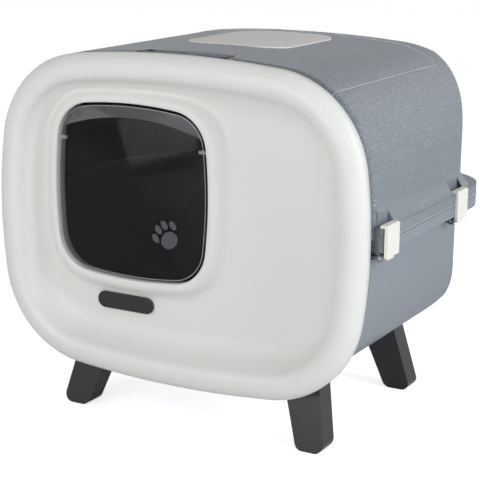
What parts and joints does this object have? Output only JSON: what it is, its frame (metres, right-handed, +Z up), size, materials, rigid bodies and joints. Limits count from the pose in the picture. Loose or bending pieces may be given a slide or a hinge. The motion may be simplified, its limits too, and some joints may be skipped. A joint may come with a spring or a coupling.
{
  "type": "covered litter box",
  "caption": "Covered litter box on legs with a dished front, a clear swinging entry flap, side clips, a rear-hinged roof lid, a fold-up handle and a filter cover.",
  "frame": {"origin": "on the floor, under the centre of the bounding box", "axes": "+X along the width, -Y out of the entry, +Z up"},
  "size_m": [0.532, 0.39, 0.4648],
  "materials": {
    "face": "satin white",
    "hood": "pebbled metallic grey",
    "base": "smooth satin grey",
    "clear": "clear acrylic",
    "band": "frosted grey",
    "mark": "satin grey",
    "black": "gloss black",
    "cream": "satin cream",
    "cover": "satin white",
    "dark": "dark grey",
    "foam": "carbon foam",
    "steel": "plain steel"
  },
  "bodies": {
    "shell": {"base_tray": "base", "hood": "hood", "front_panel": "face", "badge_bar": "black", "panel_screws": "steel", "leg_screws": "steel", "leg_front_left": "black", "leg_front_right": "black", "leg_rear_left": "black", "leg_rear_right": "black", "latch_pin_front_left": "steel", "latch_pin_front_right": "steel", "latch_pin_rear_left": "steel", "latch_pin_rear_right": "steel"},
    "flap": {"entry_flap": "clear", "flap_pins": "cream", "flap_top_band": "band", "paw_mark": "mark"},
    "lid": {"roof_lid": "hood", "lid_hinge_pin": "steel", "handle_pins": "steel", "filter_grille": "dark"},
    "handle": {"lid_handle": "hood"},
    "cover": {"filter_cover": "cover", "carbon_filter": "foam"},
    "latch_front_left": {"latch_front_left": "cream"},
    "latch_front_right": {"latch_front_right": "cream"},
    "latch_rear_left": {"latch_rear_left": "cream"},
    "latch_rear_right": {"latch_rear_right": "cream"}
  },
  "joints": [
    {"name": "flap_swing", "type": "hinge", "parent": "shell", "child": "flap", "pos_m": [-0.0615, -0.175, 0.3524], "axis": [1, 0, 0], "range_deg": [-70, 70]},
    {"name": "lid_open", "type": "hinge", "parent": "shell", "child": "lid", "pos_m": [0, 0.15, 0.4603], "axis": [-1, 0, 0], "range_deg": [0, 100]},
    {"name": "handle_fold", "type": "hinge", "parent": "lid", "child": "handle", "pos_m": [0, -0.142, 0.4585], "axis": [-1, 0, 0], "range_deg": [0, 90]},
    {"name": "cover_lift", "type": "slide", "parent": "lid", "child": "cover", "axis": [0, 0, 1], "range_m": [0, 0.04]},
    {"name": "latch_front_left_swing", "type": "hinge", "parent": "shell", "child": "latch_front_left", "pos_m": [-0.2575, -0.128, 0.254], "axis": [0, -1, 0], "range_deg": [0, 100]},
    {"name": "latch_front_right_swing", "type": "hinge", "parent": "shell", "child": "latch_front_right", "pos_m": [0.2575, -0.148, 0.254], "axis": [0, 1, 0], "range_deg": [0, 100]},
    {"name": "latch_rear_left_swing", "type": "hinge", "parent": "shell", "child": "latch_rear_left", "pos_m": [-0.2575, 0.067, 0.254], "axis": [0, -1, 0], "range_deg": [0, 100]},
    {"name": "latch_rear_right_swing", "type": "hinge", "parent": "shell", "child": "latch_rear_right", "pos_m": [0.2575, 0.067, 0.254], "axis": [0, 1, 0], "range_deg": [0, 100]}
  ]
}
